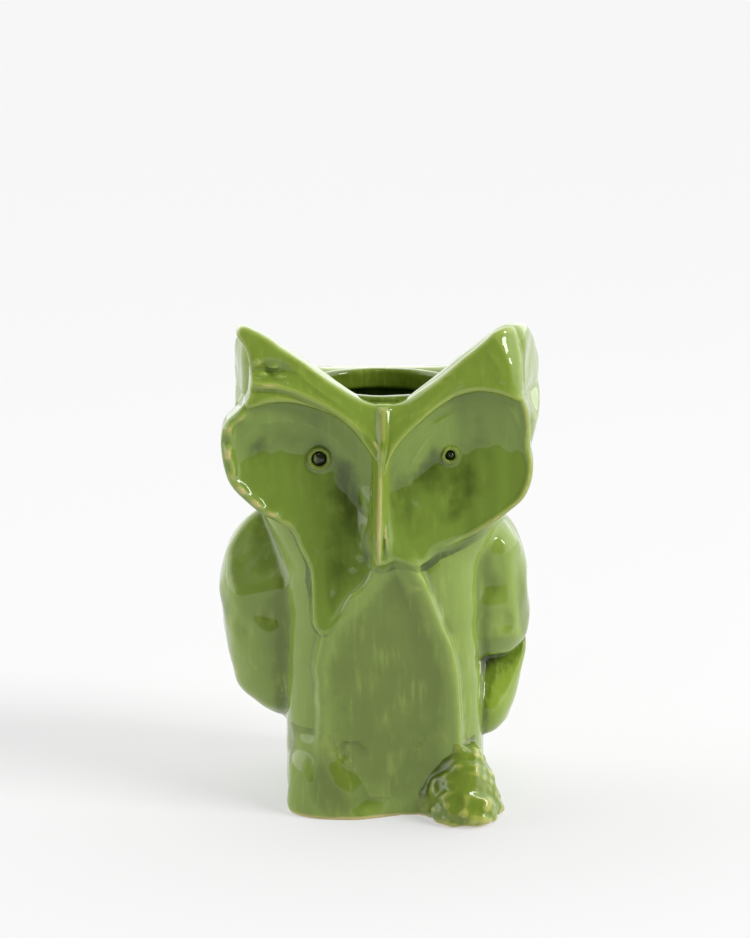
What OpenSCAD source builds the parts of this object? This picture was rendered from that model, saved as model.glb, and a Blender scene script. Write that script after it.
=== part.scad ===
// Hollow owl of glazed earthenware, open at the top.
// Every node is one piece of clay as the potter cuts it: the pieces meet
// along scored and slipped joints and are fired together.
// Frame: millimetres, +Z up, the face looks along -Y, the origin lies in
// the middle of the flat base. "left" is -X, seen from in front.

/* [Figure] */
// Height from the base to the ear tips
figure_height = 198; // [160:1:240]
// Thickness of the rolled clay wall
wall = 6.5; // [5:0.5:8]
// Thickness of the floor slab
floor_thickness = 8; // [6:0.5:10]

/* [Mouth] */
// Inner radius of the mouth
mouth_radius = 29; // [25:0.5:30]
// Radial thickness of the collar
collar_thickness = 5.5; // [4:0.5:6]
// Height of the collar
collar_height = 6.5; // [5:0.5:8]

/* [Face] */
// Distance from the vase's axis to the foremost point of the nose
nose_reach = 52.2; // [50:0.2:55]
// Depth of the thumb's hollow along the belly
belly_scoop = 2.7; // [0:0.1:3]
// Inner radius of the left eye's ring
left_eye_radius = 3.1; // [2.5:0.1:3.6]
// Inner radius of the right eye's ring
right_eye_radius = 2.1; // [1.8:0.1:2.8]
// Radius of the clay thread that makes an eye ring
eye_thread = 0.85; // [0.7:0.05:1.1]

/* [Fineness] */
// Sides of the rings that the wall is lofted from
ring_sides = 48; // [32:4:60]

/* [Hidden] */

drawn_height = 198;          // the height that the tables below are drawn at
size_factor = figure_height / drawn_height;
glaze_green = [0.36, 0.52, 0.13];
bare_clay = [0.80, 0.69, 0.47];
big = 400;                   // longer than the figure, for cutting blocks

rim_height = 170;            // level of the mouth's lip
neck_height = 108;           // where the head wall stands on the trunk wall
mask_back = 32;              // distance of the face's back plane from the axis
collar_radius = mouth_radius + collar_thickness;
ear_foot = 176;              // level at which the ears are luted on
ear_inner = 33;              // half of the gap between the two ears

// ---- curves ----------------------------------------------------------

// Catmull-Rom spline between b and c, for numbers or vectors
function spline(a, b, c, d, t) =
    0.5 * (2 * b + (c - a) * t + (2 * a - 5 * b + 4 * c - d) * t * t
           + (3 * b - a - 3 * c + d) * t * t * t);

function clamp_index(list, i) = list[min(max(i, 0), len(list) - 1)];

function segment_of(table, x, i = 0) =
    i >= len(table) - 2 || x < table[i + 1][0] ? i : segment_of(table, x, i + 1);

// Row of a table whose first column rises, smoothly read at x
function row_at(table, x) =
    let (xc = min(max(x, table[0][0]), table[len(table) - 1][0]),
         i = segment_of(table, xc),
         t = (xc - table[i][0]) / (table[i + 1][0] - table[i][0]))
    spline(clamp_index(table, i - 1), table[i],
           table[i + 1], clamp_index(table, i + 2), t);

function closed_curve(points, steps) =
    let (n = len(points))
    [for (i = [0 : n - 1]) for (k = [0 : steps - 1])
        spline(points[(i + n - 1) % n], points[i],
               points[(i + 1) % n], points[(i + 2) % n], k / steps)];

function open_curve(points, steps) =
    let (n = len(points))
    [for (i = [0 : n - 2]) for (k = [0 : (i == n - 2 ? steps : steps - 1)])
        spline(clamp_index(points, i - 1), points[i],
               points[i + 1], clamp_index(points, i + 2), k / steps)];

function ramp(a, b, x) =
    let (t = min(max((x - a) / (b - a), 0), 1)) t * t * (3 - 2 * t);

function sgn(x) = x < 0 ? -1 : 1;

// ---- solids from rings -------------------------------------------------

// Closed skin over rings of equal length that run anticlockwise, seen
// from the last ring's side
module skin(rings) {
    sides = len(rings[0]);
    last = len(rings) - 1;
    points = concat([for (ring = rings) for (p = ring) p],
                    [mean(rings[0]), mean(rings[last])]);
    low = sides * (last + 1);
    polyhedron(points, concat(
        [for (j = [0 : last - 1]) for (i = [0 : sides - 1])
            [j * sides + i, (j + 1) * sides + (i + 1) % sides,
             j * sides + (i + 1) % sides]],
        [for (j = [0 : last - 1]) for (i = [0 : sides - 1])
            [j * sides + i, (j + 1) * sides + i,
             (j + 1) * sides + (i + 1) % sides]],
        [for (i = [0 : sides - 1]) [i, (i + 1) % sides, low]],
        [for (i = [0 : sides - 1])
            [last * sides + (i + 1) % sides, last * sides + i, low + 1]]));
}

function sum(list, i = 0) = i == len(list) - 1 ? list[i] : list[i] + sum(list, i + 1);
function mean(ring) = sum(ring) / len(ring);

// Turns a shape drawn as (x, z, forward) so that forward runs along -Y
module facing() {
    rotate([90, 0, 0]) children();
}

// ---- the vessel --------------------------------------------------------

// Height, reach to the left, right, front and back, and squareness
wall_sections = [
    [0, 38.5, 41, 41.5, 40.5, 3.4],
    [5, 39.5, 42, 42, 42.5, 3.4],
    [30, 40, 41.5, 42.5, 42.5, 3.6],
    [60, 40, 41, 43.5, 42, 3.6],
    [85, 40.5, 40.5, 44, 42, 3.4],
    [100, 41.5, 42, 43.5, 42, 3.0],
    [112, 46, 47, 41.5, 42.5, 2.8],
    [125, 53, 53, 38, 43.5, 2.7],
    [140, 58, 59, 36, 44.5, 2.8],
    [155, 59.5, 62.5, 36, 44.5, 3.2],
    [168, 60.5, 65, 36, 43.5, 4.0],
    [180, 60.5, 64, 36, 41.5, 4.2],
    [198, 59.5, 60, 34, 38, 4.2]
];

// Height of the crest from ear to ear, as seen from in front
crest = [
    [-62, 190], [-58.5, 196], [-55, 198.5], [-50, 196.5], [-44, 193.5], [-40, 190.5],
    [-30, 184.5], [-23, 179.2], [-16, 174.2], [-10, 170.6], [-5, 168.6], [0, 168],
    [7, 168.7], [13, 171.6], [20, 176.4], [25, 180.8], [30, 185.5], [35, 189.5],
    [40, 193.5], [43, 196], [47, 198], [50, 198], [54, 196.5], [57, 193], [62, 186]
];
// How much of the crest's rise is left, going back from the face
crest_fade = [[-45, 1], [-28, 1], [-10, 0.92], [5, 0.74], [20, 0.42], [34, 0.1], [46, 0]];

// Point of a section at angle a, drawn in by inset
function section_point(z, a, inset) =
    let (s = row_at(wall_sections, z),
         p = 2 / s[5],
         rx = (cos(a) < 0 ? s[1] : s[2]) - inset,
         ry = (sin(a) < 0 ? s[3] : s[4]) - inset)
    [sgn(cos(a)) * rx * pow(abs(cos(a)), p), sgn(sin(a)) * ry * pow(abs(sin(a)), p)];

function section_ring(z, inset) =
    [for (i = [0 : ring_sides - 1]) section_point(z, 360 * i / ring_sides, inset)];

function ring_3d(z, inset, shape_z) =
    [for (p = section_ring(shape_z, inset)) [p[0], p[1], z]];

// Height of the top of the head over a point in plan
function top_height(x, y) =
    rim_height + (row_at(crest, x)[1] - rim_height) * row_at(crest_fade, y)[1]
        * ramp(mouth_radius, mouth_radius + 15, norm([x, y]));

// Rings of a wall from z = low up to the domed top, lowered by drop
function side_rings(low, drop, inset, steps) =
    [for (j = [0 : steps])
        [for (i = [0 : ring_sides - 1])
            let (a = 360 * i / ring_sides,
                 e = section_point(185, a, inset),
                 top = top_height(e[0], e[1]) - drop,
                 z = low + (top - low) * j / steps,
                 q = section_point(z, a, inset))
            [q[0], q[1], z]]];

// Shares of the reach, and drops, of the rings that run in over the top
top_steps = [[0.975, 1.0], [0.93, 0.2], [0.86, 0], [0.78, 0], [0.68, 0], [0.58, 0], [0.45, 0]];

function top_rings(drop, inset) =
    [for (s = top_steps)
        [for (i = [0 : ring_sides - 1])
            let (e = section_point(185, 360 * i / ring_sides, inset) * s[0])
            [e[0], e[1], top_height(e[0], e[1]) - drop - s[1]]]];

// All that lies beyond a flat through a point, to shave a side off
module blade(point, way) {
    translate(point)
        rotate([0, acos(way[2] / norm(way)), atan2(way[1], way[0])])
            translate([-big / 2, -big / 2, 0]) cube([big, big, big]);
}

module trunk_solid() {
    difference() {
        skin([for (z = [0, 2, 5, 14, 28, 42, 56, 70, 84, 94, 102, neck_height])
            ring_3d(z, 0, z)]);
        blade([-31, -39.5, 0], [-0.7, -0.71, 0.004]);
        blade([30, -41.5, 0], [0.42, -0.9, 0.01]);
    }
}

// The trunk drawn in by a depth, as the bed of a slab that is let into it
module trunk_bed(depth) {
    scale([1 - depth / 42, 1 - depth / 42, 1]) translate([0, 0, -1])
        skin([for (z = [0, 30, 60, 85, 100, 107]) ring_3d(z * 1.02, 0, z)]);
}

module trunk_cavity() {
    skin([for (z = [-1, floor_thickness, 30, 60, 84, 98, neck_height + 1])
        ring_3d(z, wall, max(z, floor_thickness))]);
}

// Half widths of the head at the front edge of the flats
left_flat = 52;
right_flat = 54;

// Where an ear's side is paddled flat, narrowing to the front
module ear_flat(side, x) {
    intersection() {
        blade([side * x, -36, 168], [0.982 * side, -0.187, 0]);
        blade([side * x, -36, 168], [0.982 * side, -0.187, 0.491]);
    }
}

module head_solid() {
    difference() {
        skin(concat(side_rings(neck_height, 2.5, 0, 9), top_rings(0, 0)));
        translate([-big / 2, -mask_back - big, -1]) cube([big, big, big]);
        ear_flat(-1, left_flat);
        ear_flat(1, right_flat);
    }
}

// The cavity keeps a wall behind the face and a vault under the ears
module head_cavity() {
    difference() {
        skin(concat(side_rings(neck_height - 1, wall + 3, wall, 7),
                    top_rings(wall, wall)));
        translate([-big / 2, wall - mask_back - big, 0]) cube([big, big, big]);
        ear_flat(-1, left_flat - wall);
        ear_flat(1, right_flat - wall);
    }
}

module mouth_plug(radius) {
    translate([0, 0, rim_height - collar_height]) cylinder(r = radius, h = 60, $fn = 72);
}

// Where one ear stands on the head
module ear_block(side) {
    translate([side > 0 ? ear_inner : -ear_inner - big, -big / 2, ear_foot])
        cube([big, big, big]);
}

module base_slab() {
    color(bare_clay)
        linear_extrude(floor_thickness)
            polygon(section_ring(floor_thickness, wall));
}

module trunk_wall() {
    color(glaze_green) difference() {
        trunk_solid();
        trunk_cavity();
        belly_prism();
        face_bed(left_disc_outline);
        face_bed(right_disc_outline);
    }
}

module head_wall() {
    color(glaze_green) difference() {
        head_solid();
        head_cavity();
        mouth_plug(collar_radius);
        ear_block(-1);
        ear_block(1);
    }
}

module mouth_collar() {
    color(glaze_green)
        translate([0, 0, rim_height - collar_height])
            rotate_extrude($fn = 72)
                translate([mouth_radius, 0])
                    offset(r = 1.6, $fn = 24) offset(delta = -1.6)
                        square([collar_thickness, collar_height]);
}

module ear(side) {
    color(glaze_green) difference() {
        intersection() {
            head_solid();
            ear_block(side);
        }
        head_cavity();
        mouth_plug(collar_radius);
    }
}

// ---- the belly ---------------------------------------------------------

belly_bed = 3.5;             // how deep the slab is let into the trunk
belly_outline = [
    [-4, 104], [-13, 94], [-18, 86], [-24, 79], [-26.5, 68], [-26.5, 55], [-26.5, 35],
    [-24, 22], [-16, 13], [-10, 3], [0, 1.5], [16, 3], [31, 8], [32, 25], [31, 45],
    [29, 66], [24, 80], [18, 95], [14, 103], [5, 105]
];
belly_middle = [8, 52];
// Distance of the slab's edge in front of the axis, by height
belly_reach = [[0, 42.8], [10, 43.6], [30, 44.4], [60, 46], [85, 48], [104, 49.4], [112, 49.6]];

module belly_prism() {
    difference() {
        facing() linear_extrude(80) polygon(closed_curve(belly_outline, 2));
        trunk_bed(belly_bed);
    }
}

function belly_ring(outline, share, scoop) =
    [for (p = outline)
        let (x = belly_middle[0] + (p[0] - belly_middle[0]) * share,
             z = belly_middle[1] + (p[1] - belly_middle[1]) * share)
        [x, z, row_at(belly_reach, z)[1] - scoop]];

// The slab with a back that reaches into the trunk
module belly_block() {
    outline = closed_curve(belly_outline, 2);
    facing() skin(concat(
        [flat_ring(outline, 10), belly_ring(outline, 1, 1.2)],
        [for (s = [0.96, 0.85, 0.65, 0.4, 0.15])
            belly_ring(outline, s, belly_scoop * (1 - s))]));
}

module belly_panel() {
    color(glaze_green) difference() {
        belly_block();
        trunk_bed(belly_bed);
    }
}

// ---- feet and wings ----------------------------------------------------

// Ring of a lobe: reach to left, right, front and back about a centre
function lobe_ring(centre, z, reach, squareness, sides) =
    [for (i = [0 : sides - 1])
        let (a = 360 * i / sides,
             p = 2 / squareness,
             rx = cos(a) < 0 ? reach[0] : reach[1],
             ry = sin(a) < 0 ? reach[2] : reach[3])
        [centre[0] + sgn(cos(a)) * rx * pow(abs(cos(a)), p),
         centre[1] + sgn(sin(a)) * ry * pow(abs(sin(a)), p), z]];

// Lobe lofted over rows of height and four reaches
module lobe(centre, rows, squareness, sides) {
    skin([for (r = rows)
        lobe_ring(centre, r[0], [r[1], r[2], r[3], r[4]], squareness, sides)]);
}

left_foot_rows = [
    [0, 17, 20, 14.5, 8], [4, 18.5, 20, 15, 9], [12, 18, 18, 12.5, 9],
    [20, 16, 14, 9.5, 9], [28, 12, 10, 8, 8]
];
right_foot_rows = [
    [0, 15, 15, 20.5, 8], [3, 16, 16, 21.5, 9], [9, 15.5, 14.5, 19.5, 9],
    [16, 12.5, 12, 16, 9], [23, 8, 9.5, 12, 8], [29, 4, 6, 8, 6]
];

module left_foot() {
    color(glaze_green) difference() {
        lobe([-20, -34], left_foot_rows, 2.2, 40);
        trunk_solid();
        belly_block();
    }
}

module right_foot() {
    color(glaze_green) difference() {
        lobe([32, -36], right_foot_rows, 2.1, 40);
        trunk_solid();
        belly_block();
    }
}

// Reach outwards, inwards, forwards and back of the wings about their centres
left_wing_rows = [
    [30, 3, 4, 6, 10], [35, 9, 6, 12, 17], [38, 13, 8, 16, 22], [42, 17.5, 8, 19, 25],
    [46, 20, 8, 21.5, 28], [50, 21.5, 8, 23, 30], [55, 23, 8, 24.5, 31], [62, 24, 8, 26, 32],
    [70, 25.2, 8, 27, 33], [78, 26, 8, 28, 33], [86, 26.8, 8, 29, 33], [96, 25, 8, 28.5, 32],
    [103, 23, 8, 27, 31], [108, 20, 8, 24, 28], [113, 15, 8, 20, 25], [119, 8, 6, 13, 18]
];
right_wing_rows = [
    [57, 10, 8, 16, 18], [61, 15, 8, 21, 22], [66, 18.5, 8, 24, 26], [70, 19.8, 8, 26, 29],
    [75, 20.5, 8, 27, 31], [85, 20, 8, 27.5, 33], [95, 18.8, 8, 27, 33],
    [103, 17.3, 8, 26, 32], [110, 14, 8, 22, 28], [118, 9, 6, 14, 20]
];
right_tip_rows = [
    [24, 3, 4, 12, 8], [27, 7.5, 6, 18, 12], [31, 11, 8, 21, 18], [40, 13.2, 8, 22, 23],
    [47, 14.8, 8, 21, 25], [55, 17, 8, 19.5, 25], [62, 19, 8, 18, 25], [68, 19, 8, 16, 25]
];

// Wing lobe on the +X side: outward, inward, forward, back
module lobe_outward(rows) {
    skin([for (r = rows) lobe_ring([40, 0], r[0], [r[2], r[1], r[3], r[4]], 2.4, 36)]);
}

module left_wing() {
    color(glaze_green) difference() {
        mirror([1, 0, 0]) lobe_outward(left_wing_rows);
        blade([-58, -25, 87], [-0.25, -0.72, 0.62]);
        blade([-62, -17, 60], [-0.9, -0.42, -0.1]);
        blade([-50, -26.5, 62], [-0.12, -0.99, 0.06]);
        blade([-56, -20, 42], [-0.5, -0.55, -0.66]);
        trunk_solid();
        head_solid();
    }
}

module right_wing_solid() {
    difference() {
        lobe_outward(right_wing_rows);
        blade([50, -22, 62], [0.1, -0.25, -0.9]);
        blade([50, -24.5, 80], [0.25, -0.96, 0.1]);
        blade([57, -16, 82], [0.85, -0.5, 0.1]);
    }
}

module right_wing() {
    color(glaze_green) difference() {
        right_wing_solid();
        trunk_solid();
        head_solid();
    }
}

module right_wing_tip() {
    color(glaze_green) difference() {
        lobe_outward(right_tip_rows);
        blade([46, -20.5, 48], [-0.15, -0.9, 0.42]);
        blade([52, -14, 42], [0.85, -0.5, -0.15]);
        trunk_solid();
        right_wing_solid();
    }
}

// ---- the face ----------------------------------------------------------

// Distance of the nose line to the right of and in front of the axis, by height
nose_line = [
    [100, -1.8, nose_reach - 3.2], [104, -1.8, nose_reach - 2.2], [108, -1.8, nose_reach - 0.9],
    [118, -1.5, nose_reach], [130, -1.3, nose_reach - 0.2], [140, -1.1, nose_reach - 1.2],
    [150, -0.4, nose_reach - 2.4], [160, 0, nose_reach - 4.8], [166, 0, nose_reach - 7.9],
    [171, 0, nose_reach - 10.6]
];
nose_half_width = 2;
nose_middle = -1;            // lies within the nose at every height

left_disc_outline = [
    [1, 108], [0, 140], [-8, 156.5], [-13, 161.8], [-20, 166.3], [-30, 170.3], [-38, 172],
    [-45, 171.5], [-52, 170], [-56, 165.5], [-60.5, 160.5], [-61.5, 150], [-58.5, 136],
    [-53.5, 129.5], [-41, 121], [-36, 117], [-34, 109], [-33.5, 99], [-32.5, 80],
    [-28.5, 76.5], [-24, 79.5], [-15.5, 90.5], [-6, 101]
];
right_disc_outline = [
    [-3, 105.5], [12, 105.5], [18, 106], [28, 112.5], [42, 120.5], [49, 125.5], [55, 131],
    [58, 138], [58.5, 145], [57.5, 160], [56, 168], [52.5, 172.5], [45, 174.8], [38, 175.8],
    [27, 173], [20, 168.7], [15, 164.7], [8, 158.3], [3, 151.8], [-3, 133]
];
left_dish = [-30, 150];
right_dish = [30, 150];
eye_left = [-25.2, 146, left_eye_radius];
eye_right = [26.3, 147.6, right_eye_radius];
eye_depth = 2.6;             // of the pit that holds the pellet

// Distance in front of the axis of each disc's hollow: the greatest of the
// leaning lower face, the upright upper face and, on the left, the chest
function left_reach(x, z) = max(
    46.3 + 0.2 * (x + 25.5) - 0.15 * (z - 74)
        - 0.11 * pow(max(0, -25 - x), 2) * (1 - ramp(111, 121, z)),
    38.6 - 0.2 * (x + 30) - 0.13 * (z - 131),
    35.5 + 0.12 * (z - 152) + 0.4 * max(0, x + 24) + 0.15 * max(0, -24 - x));
function right_reach(x, z) = max(
    48.6 - 0.25 * (x - 8) - 0.16 * (z - 106),
    37.5 + 0.12 * (x - 30) - 0.14 * (z - 140),
    35.8 + 0.12 * (z - 150) + 0.42 * max(0, 30 - x) + 0.1 * max(0, x - 30));
function face_reach(x, z) = x < nose_middle ? left_reach(x, z) : right_reach(x, z);

// Ring of a disc at a share of the way from the dish's middle to its edge
function disc_ring(outline, middle, share, proud) =
    [for (p = outline)
        let (x = middle[0] + (p[0] - middle[0]) * share,
             z = middle[1] + (p[1] - middle[1]) * share)
        [x, z, middle[0] < 0 ? left_reach(x, z) + proud : right_reach(x, z) + proud]];

function flat_ring(outline, forward) = [for (p = outline) [p[0], p[1], forward]];

module disc_solid(outline, middle) {
    facing() skin(concat(
        [flat_ring(outline, mask_back), disc_ring(outline, middle, 1, -0.8)],
        [for (s = [[0.96, 0.9], [0.9, 0.6], [0.8, 0], [0.65, 0], [0.5, 0], [0.3, 0], [0.12, 0]])
            disc_ring(outline, middle, s[0], s[1])]));
}

// Bed in the trunk for the part of a disc that hangs down over it
module face_bed(outline) {
    difference() {
        facing() linear_extrude(80) polygon(closed_curve(outline, 2));
        trunk_bed(belly_bed);
    }
}

// Band down the middle of the face that the nose takes up
module nose_zone() {
    facing() skin_up([for (z = [90, 118, 140, 150, 160, 220])
        let (x = row_at(nose_line, z)[1])
        [[x - nose_half_width, z, mask_back - 1], [x + nose_half_width, z, mask_back - 1],
         [x + nose_half_width, z, 80], [x - nose_half_width, z, 80]]]);
}

// What one half of the face must leave to the other half and to the nose
module other_half(side) {
    nose_zone();
    translate([side < 0 ? nose_middle : nose_middle - big, -big / 2, 0])
        cube([big, big, big]);
}

// Block along an eye's axis, from a depth behind the disc's face
module eye_pit(eye) {
    translate([eye[0], eye_depth - face_reach(eye[0], eye[1]), eye[1]])
        rotate([90, 0, 0]) cylinder(r = eye[2], h = 20, $fn = 32);
}

module face_disc(side, outline, middle, eye) {
    color(glaze_green) difference() {
        disc_solid(closed_curve(outline, 2), middle);
        trunk_bed(belly_bed);
        facing() linear_extrude(80) polygon(closed_curve(belly_outline, 2));
        other_half(side);
        eye_pit(eye);
    }
}

// Lower edge along the dish and upper edge along the crest, with the
// crest's distance in front of the axis
left_brow_low = [
    [-1, 146], [-3, 148], [-8, 154.5], [-13, 160], [-20, 164.5], [-30, 168.5],
    [-38, 170], [-45, 169.5], [-52.5, 167.5]
];
left_brow_high = [
    [-1, 168, 39.8], [-5, 168.6, 39.8], [-10, 170.6, 39.6], [-16, 174.2, 39.4], [-23, 179.2, 39],
    [-30, 184.5, 38.4], [-40, 190.5, 36.8], [-48, 195.5, 35.5], [-55.5, 197, 33.5]
];
right_brow_low = [
    [-1, 145], [3, 150], [8, 156.5], [15, 163], [20, 167], [27, 171.5], [38, 174],
    [45, 173], [52, 170.5]
];
right_brow_high = [
    [-1, 168, 39.8], [4, 168.3, 39.8], [10, 170, 39.6], [17, 174.1, 39.4], [24, 180, 38.9],
    [31, 186.2, 38.3], [38, 192, 37.2], [43, 196, 36.4], [48, 196.5, 35.5]
];
// Distance of a brow's lower edge in front of the axis, by distance from the middle
brow_reach = [
    [0, 49.5], [3, 48.9], [8, 47], [15, 45], [20, 43.6], [27, 42.2], [33, 42], [45, 42.4], [60, 42.4]
];

function brow_row(low, high, share) =
    [for (i = [0 : len(low) - 1])
        let (x = low[i][0] + (high[i][0] - low[i][0]) * share,
             z = low[i][1] + (high[i][1] - low[i][1]) * share,
             front = row_at(brow_reach, abs(low[i][0]))[1])
        [x, z, front + (high[i][2] - front) * share]];

function reversed(list) = [for (i = [len(list) - 1 : -1 : 0]) list[i]];

// Band between two rows of points, with its back on the mask's plane
module brow_band(low, high) {
    lower = open_curve(low, 2);
    upper = open_curve(high, 2);
    rows = [for (s = [0, 0.25, 0.5, 0.75, 1]) brow_row(lower, upper, s)];
    for (j = [0 : 3])
        band_strip(rows[j], rows[j + 1]);
}

module band_strip(row_a, row_b) {
    outline = concat(row_a, reversed(row_b));
    back = [for (p = outline) [p[0], p[1], mask_back]];
    facing() strip_skin(back, outline);
}

// Closed skin between two outlines whose points pair up across the band
module strip_skin(back, front) {
    n = len(back);
    half = n / 2;
    points = concat(back, front);
    polyhedron(points, concat(
        [for (i = [0 : n - 1]) [i, n + (i + 1) % n, (i + 1) % n]],
        [for (i = [0 : n - 1]) [i, n + i, n + (i + 1) % n]],
        [for (i = [0 : half - 2]) [i, i + 1, n - 1 - i]],
        [for (i = [0 : half - 2]) [i + 1, n - 2 - i, n - 1 - i]],
        [for (i = [0 : half - 2]) [n + i + 1, n + i, 2 * n - 1 - i]],
        [for (i = [0 : half - 2]) [2 * n - 2 - i, n + i + 1, 2 * n - 1 - i]]));
}

module left_brow() {
    color(glaze_green) difference() {
        mirror([1, 0, 0]) brow_band(
            [for (p = left_brow_low) [-p[0], p[1]]],
            [for (p = left_brow_high) [-p[0], p[1], p[2]]]);
        disc_solid(closed_curve(left_disc_outline, 2), left_dish);
        other_half(-1);
    }
}

module right_brow() {
    color(glaze_green) difference() {
        brow_band(right_brow_low, right_brow_high);
        disc_solid(closed_curve(right_disc_outline, 2), right_dish);
        other_half(1);
    }
}

// Roll down the middle of the face, from the mouth to the belly's arch
module beak_ridge() {
    color(glaze_green) difference() {
        facing() skin_up(
            [for (z = [106, 112, 118, 126, 136, 146, 154, 162, 168])
                let (x = row_at(nose_line, z)[1], f = row_at(nose_line, z)[2])
                [[x - nose_half_width, z, mask_back], [x + nose_half_width, z, mask_back],
                 [x + nose_half_width, z, f - 2.4], [x + 1, z, f - 0.6], [x, z, f],
                 [x - 1, z, f - 0.6], [x - nose_half_width, z, f - 2.4]]]);
        trunk_bed(belly_bed);
    }
}

// Skin over rings that climb along the second coordinate
module skin_up(rings) {
    skin(reversed(rings));
}

module eye_ring(eye) {
    color(glaze_green)
        translate([eye[0], -face_reach(eye[0], eye[1]) - 0.2, eye[1]])
            rotate([90, 0, 0])
                rotate_extrude($fn = 40)
                    translate([eye[2] + eye_thread, 0]) circle(r = eye_thread, $fn = 16);
}

module eye_pellet(eye) {
    color(glaze_green)
        translate([eye[0], eye_depth / 2 - face_reach(eye[0], eye[1]), eye[1]])
            scale([1, eye_depth / 2 / (eye[2] * 0.85), 1])
                sphere(r = eye[2] * 0.85, $fn = 32);
}

// ---- drawing -----------------------------------------------------------

module sized() {
    scale(size_factor) children();
}

sized() base_slab();
sized() trunk_wall();
sized() belly_panel();
sized() left_foot();
sized() right_foot();
sized() left_wing();
sized() right_wing();
sized() right_wing_tip();
sized() head_wall();
sized() mouth_collar();
sized() ear(-1);  // left_ear
sized() ear(1);  // right_ear
sized()  // left_face_disc
    face_disc(-1, left_disc_outline, left_dish, eye_left);
sized()  // right_face_disc
    face_disc(1, right_disc_outline, right_dish, eye_right);
sized() left_brow();
sized() right_brow();
sized() beak_ridge();
sized() eye_ring(eye_left);  // left_eye_ring
sized() eye_ring(eye_right);  // right_eye_ring
sized() eye_pellet(eye_left);  // left_eye_pellet
sized() eye_pellet(eye_right);  // right_eye_pellet
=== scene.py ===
"""Glazed owl vase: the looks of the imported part, built around its CAD frame."""
import math

import bmesh
import bpy
import numpy as np
import openvdb
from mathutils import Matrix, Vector


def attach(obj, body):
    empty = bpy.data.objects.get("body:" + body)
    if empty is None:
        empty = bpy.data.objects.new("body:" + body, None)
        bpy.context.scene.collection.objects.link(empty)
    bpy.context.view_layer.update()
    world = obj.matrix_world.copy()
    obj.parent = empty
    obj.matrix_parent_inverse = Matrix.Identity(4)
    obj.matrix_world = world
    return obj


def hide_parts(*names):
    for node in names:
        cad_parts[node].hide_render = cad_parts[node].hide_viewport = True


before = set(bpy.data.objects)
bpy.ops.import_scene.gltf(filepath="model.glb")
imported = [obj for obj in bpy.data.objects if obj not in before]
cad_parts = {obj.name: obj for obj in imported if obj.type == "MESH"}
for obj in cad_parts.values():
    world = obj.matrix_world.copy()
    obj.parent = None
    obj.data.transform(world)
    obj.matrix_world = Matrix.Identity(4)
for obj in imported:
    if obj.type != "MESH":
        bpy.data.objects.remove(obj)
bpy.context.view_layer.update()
scene = bpy.context.scene

# ---------------------------------------------------------------------------
# The view: a long lens, a little above the rim, so that the mouth shows in
# the dip between the ears.
view_elevation = math.radians(12)
view_distance = 1.05
frame_height = 0.3752
aim = Vector((-0.0032, -0.02, 0.1385))

camera_data = bpy.data.cameras.new("view")
camera_data.sensor_width = 36
camera_data.lens = camera_data.sensor_width * view_distance / frame_height
camera_data.clip_start = 0.05
camera = bpy.data.objects.new("view", camera_data)
back = Vector((0, -math.cos(view_elevation), math.sin(view_elevation)))
camera.location = aim + back * view_distance
camera.rotation_euler = (-back).to_track_quat("-Z", "Y").to_euler()
scene.collection.objects.link(camera)
scene.camera = camera

# ---------------------------------------------------------------------------
# The table and the studio. The vase stands on a sheet of white acrylic lit
# softly from below. The room is bright behind and at the sides and dim in
# front, so faces that lean back look deep green, upright faces carry a pale
# veil of the reflected table, and the flanks turn nearly white.


def wired(tree, kind, inputs, **settings):
    """A node with its settings and inputs; an input may be another node's output."""
    node = tree.nodes.new(kind)
    for key, value in settings.items():
        setattr(node, key, value)
    for key, value in inputs.items():
        socket = node.inputs[key] if isinstance(key, int) else next(
            s for s in node.inputs if s.enabled and s.name == key)
        if isinstance(value, bpy.types.NodeSocket):
            tree.links.new(value, socket)
        else:
            socket.default_value = value
    return next(s for s in node.outputs if s.enabled)


def eased(tree, value, start, end, low=0.0, high=1.0):
    """Low before start, high after end, easing in between."""
    return wired(tree, "ShaderNodeMapRange", {"Value": value, "From Min": start, "From Max": end,
                                              "To Min": low, "To Max": high},
                 interpolation_type="SMOOTHSTEP")


scene.view_settings.view_transform = "Standard"

table_reach = 30.0
table_mesh = bpy.data.meshes.new("table")
table_mesh.from_pydata([(-table_reach, -table_reach, 0), (table_reach, -table_reach, 0),
                        (table_reach, table_reach, 0), (-table_reach, table_reach, 0)],
                       [], [(0, 1, 2, 3)])
table = bpy.data.objects.new("table", table_mesh)
scene.collection.objects.link(table)

acrylic = bpy.data.materials.new("white_acrylic")
acrylic.use_nodes = True
acrylic_shader = acrylic.node_tree.nodes["Principled BSDF"]
acrylic_shader.inputs["Base Color"].default_value = (0.34, 0.34, 0.34, 1)
acrylic_shader.inputs["Roughness"].default_value = 1.0
acrylic_shader.inputs["Specular IOR Level"].default_value = 0.0
acrylic_shader.inputs["Emission Color"].default_value = (1, 1, 1, 1)
acrylic_shader.inputs["Emission Strength"].default_value = 0.455
table_mesh.materials.append(acrylic)

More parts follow.
